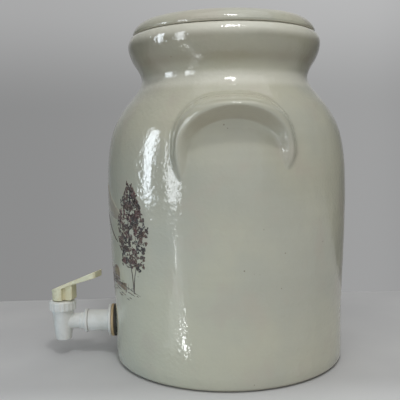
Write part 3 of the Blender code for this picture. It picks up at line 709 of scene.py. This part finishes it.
def make_print():
    """A plain landscape of low hills with two small trees, in brown inks."""
    chance = np.random.default_rng(5)
    twigs, brown, maroon, black, tan, pale = (Print() for _ in range(6))
    make_tree(twigs, (brown, maroon, black), (84 * MM, 84 * MM),
              ((-4.5 * MM, 84 * MM, 1.7 * MM), (10 * MM, 68 * MM, 1.4 * MM)),
              (23 * MM, 110 * MM, 187 * MM), chance)
    make_tree(twigs, (brown, maroon, black), (-38 * MM, 93 * MM),
              ((3 * MM, 50 * MM, 1.0 * MM),), (13 * MM, 107 * MM, 150 * MM), chance)

    def ground(u):
        return (86 + 5 * math.sin(u / 0.030 + 0.4) - 90 * max(0, u - 0.075) - 60 * max(0, -u - 0.055)) * MM

    def ridge(u):
        return (130 + 26 * math.cos((u - 0.004) / 0.034) + 2 * math.sin(u / 0.009)) * MM

    def scrub(low, wave):
        """A ragged edge that many mm above the ground."""
        return lambda u: ground(u) + (low + 3 * math.sin(u / wave)) * MM

    def hill_foot(u):
        return (158 + 5 * math.cos(u / 0.02)) * MM

    def hill_top(u):
        hump = 25 * max(0, 1 - abs((u - 0.007) / 0.0675) ** 3)
        return (158 + 5 * math.cos(u / 0.02) + hump + 2 * math.sin(u / 0.011)) * MM

    near = np.linspace(-66 * MM, 94 * MM, 24)
    twigs.stroke([(u, ground(u)) for u in near], [w * MM for w in (0.3, 1.1, 0.8, 1.3, 0.9, 0.2)])
    far = np.linspace(-60 * MM, 56 * MM, 26)
    twigs.stroke([(u, ridge(u)) for u in far], [w * MM for w in (0.4, 1.0, 0.7, 1.6, 2.6, 1.2)])
    tan.wash(-58 * MM, 70 * MM, lambda u: ground(u) - 5 * MM, scrub(3.5, 0.011))
    tan.wash(18 * MM, 55 * MM, lambda u: ground(u) + 2 * MM, scrub(13, 0.006), 0.07 * MM)
    pale.wash(-60 * MM, 74 * MM, hill_foot, hill_top)
    for row in range(5):
        for _ in range(26):
            u = (-60 + 150 * chance.random()) * MM
            z = ground(u) - (1 + 2.6 * row + 1.5 * chance.random()) * MM
            if abs(u - 15 * MM) > (78 - 6 * row) * MM:
                continue
            long = (2 + 6 * chance.random()) * MM
            ink = (twigs, brown, maroon)[int(chance.integers(3))]
            ink.stroke([(u, z), (u + long / 2, z + 0.5 * MM), (u + long, z - 0.3 * MM)],
                       [0.25 * MM, 0.8 * MM, 0.2 * MM], (0.08 + 0.03 * chance.random()) * MM)
    for _ in range(60):
        u = (-58 + 140 * chance.random()) * MM
        lean = (chance.random() - 0.5) * 3 * MM
        tip = ground(u) + (3 + 2 * chance.random()) * MM
        twigs.stroke([(u, ground(u)), (u + lean * 0.4, ground(u) + 2 * MM), (u + lean, tip)],
                     [0.45 * MM, 0.3 * MM, 0.12 * MM])
    inks = (
        (twigs, "print_twigs", "ink_dark", (0.035, 0.030, 0.028), (0.12, 0.095, 0.075)),
        (brown, "print_brown", "ink_brown", (0.050, 0.028, 0.022), (0.13, 0.080, 0.060)),
        (maroon, "print_maroon", "ink_maroon", (0.060, 0.020, 0.020), (0.15, 0.070, 0.065)),
        (black, "print_black", "ink_black", (0.012, 0.010, 0.010), (0.05, 0.032, 0.030)),
        (tan, "print_tan", "ink_tan", (0.19, 0.14, 0.105), (0.31, 0.25, 0.19)),
        (pale, "print_pale", "ink_pale", (0.45, 0.41, 0.33), (0.50, 0.47, 0.38)),
    )
    for shapes, name, ink, deep, light in inks:
        shapes.finish(name, make_ink(ink, deep, light))


# ---------------------------------------------------------------- tap, fixed pieces

def ring_profile(points, radius=0.5 * MM):
    """A closed profile in mm with all its corners rounded."""
    loop = [np.array(p, float) * MM for p in points]
    start = (loop[-1] + loop[0]) / 2
    return rounded([start] + loop + [start], radius)[:-1]


def shank_piece(name, points, material, nodes, columns=96, radius=0.5 * MM, shape=None):
    """A ring on the shank, from a closed (radius, distance from the barrel's axis) profile in mm."""
    profile = ring_profile([(r, -s) for r, s in points], radius)
    vertices, faces = turned(profile, columns, shape)
    return add_piece(name, along_shank(vertices), faces, material, "crock", nodes)


def make_faucet_body(material):
    outer = [(0, 56.3), (11, 56.3), (11, 49.8), (11.8, 49.5), (8.5, 18.1), (8.0, 17.5), (0, 17.5)]
    vertices, faces = turned(rounded(in_mm(outer), 0.4 * MM), 96)
    body = work_object("tap_body", on_barrel(vertices), faces)
    arm = [(0, 0), (8.4, 0), (8.4, -18.7), (9.0, -19.2), (9.0, -23.4), (12.5, -23.8), (12.5, -26.9),
           (0, -26.9)]
    vertices, faces = turned(rounded(in_mm(arm), 0.4 * MM), 96)
    boolean(body, work_object("arm", along_shank(vertices), faces), "UNION")
    chamber = [(0, 62), (9, 62), (9, 31.8), (6.8, 31.8), (6.3, 30.6), (6.3, 10), (0, 10)]
    vertices, faces = turned(in_mm(chamber), 96)
    boolean(body, work_object("chamber", on_barrel(vertices), faces))
    vertices, faces = turned(in_mm([(0, 0), (4.6, 0), (4.6, -40), (0, -40)]), 64)
    boolean(body, work_object("shank_bore", along_shank(vertices), faces))
    melted(body, 0.40 * MM, 7)
    coat(body, material)
    dress(body, "crock", ["faucet_body"])


def make_shank(material):
    """The threaded tube that goes through the wall."""
    start, end, pitch = 26 * MM, SHANK_END, 2 * MM
    outer = resampled([(SHANK_RADIUS, -start), (SHANK_RADIUS, -end + 0.6 * MM)], 0.25 * MM)
    profile = np.vstack([outer, [(SHANK_RADIUS - 0.6 * MM, -end), (SHANK_BORE, -end), (SHANK_BORE, -start)]])

    def shape(radius, height, angles):
        turns = -height / pitch + angles / (2 * math.pi)
        ridge = 0.32 * MM * (0.5 + 0.5 * np.cos(2 * math.pi * turns)) ** 0.8
        fade = np.clip((-height - 48 * MM) / (4 * MM), 0, 1) * np.clip((end + height) / (2 * MM), 0, 1)
        return radius + np.where(radius > 7.5 * MM, ridge * fade, 0), height

    vertices, faces = turned(profile, 72, shape)
    add_piece("tap_shank", along_shank(vertices), faces, material, "crock", ["faucet_body"])


def curved_to(wall, fixed):
    """A shape that bends one end of a ring on the shank to a cylinder about the crock's axis."""
    def shape(radius, height, angles):
        across = radius * np.cos(angles)
        at_axis = REACH + TAP_WALL_RADIUS - wall
        at_side = REACH + TAP_WALL_RADIUS - np.sqrt(wall ** 2 - across ** 2)
        share = (-height - fixed) / (at_axis - fixed)
        return radius, -(fixed + share * (at_side - fixed))
    return shape


def make_shank_rings(white, tan, dark):
    sleeve = [(8.3, 27.2), (11.5, 27.2), (11.5, 49.0), (12.3, 49.8), (17.0, 49.8), (17.0, 52.6), (8.3, 52.6)]
    shank_piece("sleeve", sleeve, white, ["shank_sleeve"], radius=0.7 * MM)
    shank_piece("washer_tan", [(8.3, 52.9), (17.3, 52.9), (17.3, 55.5), (8.3, 55.5)], tan,
                ["outer_washer"])
    outside, inside = TAP_WALL_RADIUS + 0.3 * MM, TAP_WALL_RADIUS - WALL - 0.6 * MM
    near = (REACH + TAP_WALL_RADIUS - outside) / MM
    shank_piece("washer_dark", [(8.3, 55.8), (17.3, 55.8), (17.3, near), (8.3, near)], dark,
                ["wall_washer"], shape=curved_to(outside, 55.8 * MM))
    near = (REACH + TAP_WALL_RADIUS - inside) / MM
    shank_piece("washer_inner", [(8.3, near), (16, near), (16, 70.5), (8.3, 70.5)], tan,
                ["inner_washer"], shape=curved_to(inside, 70.5 * MM))

    def hexagon(radius, height, angles):
        flat = 13 * MM / np.cos((np.degrees(angles) % 60 - 30) * math.pi / 180)
        crown = 14.8 * MM - 0.9 * np.maximum(0, -height - 78.8 * MM)
        on_hex = (radius > 12 * MM) & (-height > 73.3 * MM)
        return np.where(on_hex, np.minimum(np.minimum(flat, crown), radius + 2 * MM), radius), height

    profile = [(8.3, -70.8), (16, -70.8), (16, -73.2), (13, -73.35), (13, -74.5), (13, -77), (13, -78.8),
               (13, -79.4), (13, -80), (8.3, -80)]
    vertices, faces = turned(ring_profile(profile, 0.25 * MM), 180, hexagon)
    add_piece("nut", along_shank(vertices), faces, white, "crock", ["shank_nut"])


def make_bonnet(material):
    def ribbed(radius, height, angles):
        share = (angles * BONNET_RIBS / (2 * math.pi)) % 1
        bump = np.clip(np.minimum(share - 0.36, 1 - share) / 0.16, 0, 1)
        rib = 0.6 * MM * bump * bump * (3 - 2 * bump)
        fade = np.clip((BONNET_TOP - 0.4 * MM - height) / (1.6 * MM), 0, 1)
        return radius + np.where(radius > 13.0 * MM, rib * fade, 0), height

    sides = [(13.6, z) for z in np.linspace(58.9, 50.8, 12)]
    profile = [(3.7, 60.3), (12.3, 60.3)] + sides + [(13.4, 50), (11.4, 50), (11.4, 58.1), (3.7, 58.1)]
    vertices, faces = turned(ring_profile(profile, 0.6 * MM), BONNET_RIBS * 20, ribbed)
    add_piece("tap_bonnet", on_barrel(vertices), faces, material, "crock", ["bonnet"])


def make_spring(material):
    """The closing spring and the washer above it."""
    vertices, faces = turned(ring_profile([(4, 57.8), (10.8, 57.8), (10.8, 57.2), (4, 57.2)], 0.2 * MM), 72)
    add_piece("washer_steel", on_barrel(vertices), faces, material, "crock", ["spring_washer"])
    wire, coil, turns, steps, sides = 0.45 * MM, 6.2 * MM, 4, 40, 10
    bottom, top = 45.05 * MM, 56.45 * MM
    count = turns * steps + 1
    at = np.linspace(0, 1, count)
    angle = 2 * math.pi * turns * at
    centre = np.stack([coil * np.cos(angle), coil * np.sin(angle), bottom + (top - bottom) * at], 1)
    out = np.stack([np.cos(angle), np.sin(angle), 0 * angle], 1)
    round_wire = 2 * math.pi * np.arange(sides) / sides
    ring = (centre[:, None] + wire * np.cos(round_wire)[None, :, None] * out[:, None]
            + wire * np.sin(round_wire)[None, :, None] * np.array([0, 0, 1.0]))
    vertices = ring.reshape(-1, 3)
    faces = [tuple(reversed(f)) for f in wrap_faces(count, sides)]
    faces += [tuple(range(sides)), tuple(reversed(range(len(vertices) - sides, len(vertices))))]
    spring = add_piece("spring", on_barrel(vertices), faces, material, "crock", ["closing_spring"])
    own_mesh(spring)


# ---------------------------------------------------------------- tap, moving pieces

def make_seat(material):
    profile = [(0, 36.4), (3.4, 36.4), (3.4, 39.4), (2.5, 40.2), (2.5, 42.0), (3.6, 44.3), (8.3, 44.3),
               (8.7, 43.8), (8.7, 42.8), (6.0, 41.4), (5.4, 40.0), (7.9, 36.3), (7.9, 32.8), (7.4, 32.1),
               (0, 32.1)]
    vertices, faces = turned(rounded(in_mm(profile), 0.5 * MM), 80)
    add_piece("seat", on_barrel(vertices), faces, material, "seat", ["seat_cup"])


def make_stem(material):
    profile = [(0, 71.8), (2.2, 71.4), (3.2, 70.2), (3.2, 44.6), (2.2, 43.0), (2.2, 40.0), (3.1, 39.1),
               (3.1, 38.2), (2.0, 36.7), (0, 36.7)]
    path = rounded(in_mm(profile), 0.4 * MM)
    vertices, faces = turned(path, 64)
    stem = work_object("stem", on_barrel(vertices), faces)
    hole, hole_faces = turned(in_mm([(0, 10), (1.5, 10), (1.5, -10), (0, -10)]), 32)
    boolean(stem, work_object("pin_hole", on_lever(np.roll(hole, 1, 1)), hole_faces))
    coat(stem, material)
    shade(stem, 40)
    dress(stem, "stem", ["valve_stem"])


def on_lever(vertices):
    """From the lever's own frame, X across, Y along and Z up from the pin, to the tap's."""
    x, y, z = np.asarray(vertices, float).T
    c, s = math.cos(-LEVER_TURN), math.sin(-LEVER_TURN)
    return np.stack([c * x - s * y, s * x + c * y + BARREL_Y, z + PIN_Z], 1)


def plate(outline, low, high, axis=2):
    """A plate in mm from an outline, between two heights along the axis that it is flat to."""
    n = len(outline)
    flat = np.array(outline, float)
    points = np.vstack([np.column_stack([flat, np.full(n, level)]) for level in (low, high)]) * MM
    if axis == 0:
        points = points[:, [2, 0, 1]]
    faces = [tuple(reversed(range(n))), tuple(range(n, 2 * n))]
    faces += [(i, (i + 1) % n, n + (i + 1) % n, n + i) for i in range(n)]
    return points, faces


def arc(centre, radius, start, end, steps=10):
    """Points along an arc, between two angles in degrees."""
    angles = [math.radians(a) for a in np.linspace(start, end, steps)]
    return [(centre[0] + radius * math.cos(a), centre[1] + radius * math.sin(a)) for a in angles]


def mirrored(right):
    """A closed outline from its right half, which runs from the front to the back."""
    return right + [(-x, y) for x, y in reversed(right) if abs(x) > 1e-6]


def lever_top(along):
    """The height in mm of the lever's sloping top above the pin."""
    return 7.7 + along * math.tan(math.radians(22.8))


def make_lever(material, steel):
    hub = arc((0, 0), 11.1, -90, 30, 24)
    paddle = arc((6.0, 41.0), 3.5, 0, 90, 8)
    waist = [tuple(p) for p in smooth_curve([(5.9, 16.0), (6.6, 22.0), (8.2, 30.0), (9.5, 37.0)], 6)]
    lever = work_object("lever", *plate(mirrored(hub + waist + paddle), -20, 40))
    front, back = -13.0, 46.0
    slab = [(front, lever_top(front)), (front, lever_top(front) - 2.6), (14.5, lever_top(14.5) - 4.0),
            (back, lever_top(back) - 6.9), (back, lever_top(back))]
    boolean(lever, work_object("slab", *plate(slab[::-1], -20, 20, 0)), "INTERSECT")
    drum = arc((0, 0), 10.8, -90, 23.5, 24)
    cheeks = mirrored(drum + [(5.4, drum[-1][1]), (5.4, 14.5)])
    block = work_object("block", *plate(cheeks, -20, 40))
    under = [(front, -5.9), (front + 3.1, -7.3), (12.5, -7.3), (15.5, -4.3), (15.5, lever_top(15.5) - 1),
             (front, lever_top(front) - 1)]
    boolean(block, work_object("under", *plate(under, -20, 20, 0)), "INTERSECT")
    boolean(lever, block, "UNION")
    hollow = work_object("hollow", *plate(mirrored([(3.7, 17.0), (4.4, 22.0), (6.0, 30.0), (7.3, 37.0)]
                                                   + arc((5.1, 40.1), 2.2, 0, 90, 6)), -20, 40))
    roof = [(0, lever_top(0) - 2.2), (0, -20), (back, -20), (back, lever_top(back) - 2.2)]
    boolean(hollow, work_object("roof", *plate(roof, -20, 20, 0)), "INTERSECT")
    boolean(lever, hollow)
    slot = [(-3.7, -3.9), (3.7, -3.9), (3.7, 7.4), (-3.7, 7.4)]
    boolean(lever, work_object("slot", *plate(slot, -20, 4.4)))
    hole, hole_faces = turned(in_mm([(0, 7.8), (1.5, 7.8), (1.5, -20), (0, -20)]), 40)
    boolean(lever, work_object("pin_hole", hole[:, [2, 0, 1]], hole_faces))
    melted(lever, 0.34 * MM, 5)
    points = np.array([v.co for v in lever.data.vertices])
    lever.data.vertices.foreach_set("co", on_lever(points).ravel())
    coat(lever, material)
    lever.data.update()
    dress(lever, "lever", ["lever_handle"])

    pin = rounded(in_mm([(0, 7.5), (1.2, 7.5), (1.2, -11), (0, -11)]), 0.25 * MM)
    vertices, faces = turned(pin, 40)
    add_piece("pin", on_lever(vertices[:, [2, 0, 1]]), faces, steel, "lever", ["handle_pin"])


# ---------------------------------------------------------------- stage

def make_stage():
    """A floor that stops behind the crock, where the even background stands for a wall."""
    low, back, wide = -0.2 * MM, -0.235, 3.0
    corners = [(back, -wide, low), (wide, -wide, low), (wide, wide, low), (back, wide, low)]
    floor = work_object("floor", corners, [(0, 1, 2, 3)])
    floor.data.materials.append(make_paint("floor_paint", (0.58, 0.58, 0.58), (0.62, 0.62, 0.615), 8))


def add_softbox(name, azimuth, elevation, distance, size, power, colour=(1, 1, 1), aim=(0, 0, 0.17)):
    """An area light that faces the crock. Azimuth 0 is on the tap's side and 90 on +X."""
    a, e = math.radians(azimuth), math.radians(elevation)
    back = Vector((math.sin(a) * math.cos(e), -math.cos(a) * math.cos(e), math.sin(e)))
    light = bpy.data.lights.new(name, "AREA")
    light.shape = "RECTANGLE"
    light.size, light.size_y = size
    light.energy = power
    light.color = colour
    lamp = placed(name, light)
    lamp.location = Vector(aim) + back * distance
    lamp.rotation_mode = "QUATERNION"
    lamp.rotation_quaternion = (-back).to_track_quat("-Z", "Y")
    lamp.visible_camera = False
    return lamp


def laid_flat(lamp, degrees):
    """Faces a lamp at the floor, turned about Z."""
    lamp.rotation_mode = "XYZ"
    lamp.rotation_euler = (math.pi, 0, math.radians(degrees))


def light_from_the_room(tree):
    """Soft light: brighter above, towards +X and a little towards +Y, dim far to both sides."""
    def node(kind, *inputs, **settings):
        made = tree.nodes.new("ShaderNode" + kind)
        for key, value in settings.items():
            setattr(made, key, value)
        for socket, value in zip(made.inputs, inputs):
            if isinstance(value, bpy.types.NodeSocket):
                tree.links.new(value, socket)
            elif value is not None:
                socket.default_value = value
        return made

    direction = node("SeparateXYZ", node("TexCoord").outputs["Generated"])
    x, y, z = (direction.outputs[axis] for axis in "XYZ")

    def ramp(value, *limits):
        return node("MapRange", value, *limits, interpolation_type="SMOOTHSTEP").outputs["Result"]

    def math_of(operation, a, b=None):
        return node("Math", a, b, operation=operation).outputs[0]

    above = math_of("ADD", ramp(z, 0.04, 0.22, 0.265, 0.40), ramp(z, 0.20, 0.60, 0.0, 0.08))
    front = ramp(x, -0.1, 0.9, 0.0, 0.305)
    slant = ramp(y, -0.28, 0.28, 0.0, 0.08)
    side = math_of("MULTIPLY", ramp(math_of("ABSOLUTE", y), 0.28, 0.80, 1.0, 0.10),
                   ramp(y, 0.28, 0.60, 1.0, 0.75))
    total = math_of("MULTIPLY", math_of("ADD", math_of("ADD", above, front), slant), side)
    background = tree.nodes["Background"]
    background.inputs["Color"].default_value = (0.99, 0.995, 1.0, 1)
    tree.links.new(total, background.inputs["Strength"])


def make_light():
    world = bpy.data.worlds.new("studio")
    bpy.context.scene.world = world
    world.use_nodes = True
    light_from_the_room(world.node_tree)
    add_softbox("overhead", 120, 70, 1.6, (1.6, 1.6), 5.0)
    fill = add_softbox("fill", 30, 1, 0.85, (0.3, 0.10), 0.055, (0.42, 0.76, 1.0), (0, 0, 0.03))
    fill.data.spread = math.radians(45)
    fill.visible_glossy = False
    windows = (
        add_softbox("window_side", 11, 12, 1.5, (0.24, 0.86), 7.5, (0.84, 0.92, 1.0)),
        add_softbox("window_front", 38, 10, 1.5, (0.26, 0.80), 5.0, (0.90, 0.95, 1.0)),
    )
    for window in windows:
        window.visible_diffuse = False
    # Two strips of light just over the floor face down. They show low on the crock.
    just_above = (0, 0, 1 * MM)
    glare = add_softbox("glare_on_the_floor", 46, 0, 0.52, (0.62, 0.06), 0.08, (0.9, 0.96, 1.0), just_above)
    laid_flat(glare, 46 - 90)
    line = add_softbox("line_on_the_floor", 44, 0, 0.483, (0.55, 0.007), 0.35, (0.95, 0.98, 1.0), just_above)
    laid_flat(line, -55.9)
    line.visible_diffuse = False
    add_softbox("ceiling_lamp", 99, 56, 1.5, (0.20, 0.12), 3.9, aim=(0, 0, 0.25))


def make_camera():
    """On the +X side, low, and turned a little aside from the crock's axis."""
    camera = bpy.data.cameras.new("camera")
    camera.lens, camera.sensor_width = 55.8, 36
    viewer = placed("camera", camera)
    azimuth, distance, height = math.radians(86), 0.6635, 0.2304
    turn, down, roll = 0.042, 0.098, -0.0203
    place = Matrix.Translation((distance * math.sin(azimuth), -distance * math.cos(azimuth), height))
    viewer.matrix_world = (
        place @ Matrix.Rotation(azimuth + turn, 4, "Z") @ Matrix.Rotation(math.pi / 2 - down, 4, "X")
        @ Matrix.Rotation(roll, 4, "Z")
    )
    bpy.context.scene.camera = viewer


bpy.context.scene.view_settings.view_transform = "Standard"
make_camera()
make_light()
make_stage()
glaze = make_glaze("glaze")
white = make_moulded("white_plastic", (0.80, 0.80, 0.77), (0.72, 0.72, 0.68), 0.36)
cream = make_moulded("cream_plastic", (0.80, 0.77, 0.56), (0.72, 0.67, 0.45), 0.38)
tan = make_moulded("tan_rubber", (0.58, 0.43, 0.25), (0.46, 0.32, 0.17), 0.62)
dark = make_moulded("dark_rubber", (0.045, 0.040, 0.030), (0.022, 0.020, 0.017), 0.66)
silicone = make_moulded("silicone", (0.78, 0.77, 0.73), (0.70, 0.69, 0.65), 0.48)
steel = make_steel()
make_crock(glaze)
make_lid(glaze)
make_print()
make_faucet_body(white)
make_shank(white)
make_shank_rings(white, tan, dark)
make_bonnet(white)
make_spring(steel)
make_seat(silicone)
make_stem(white)
make_lever(cream, steel)
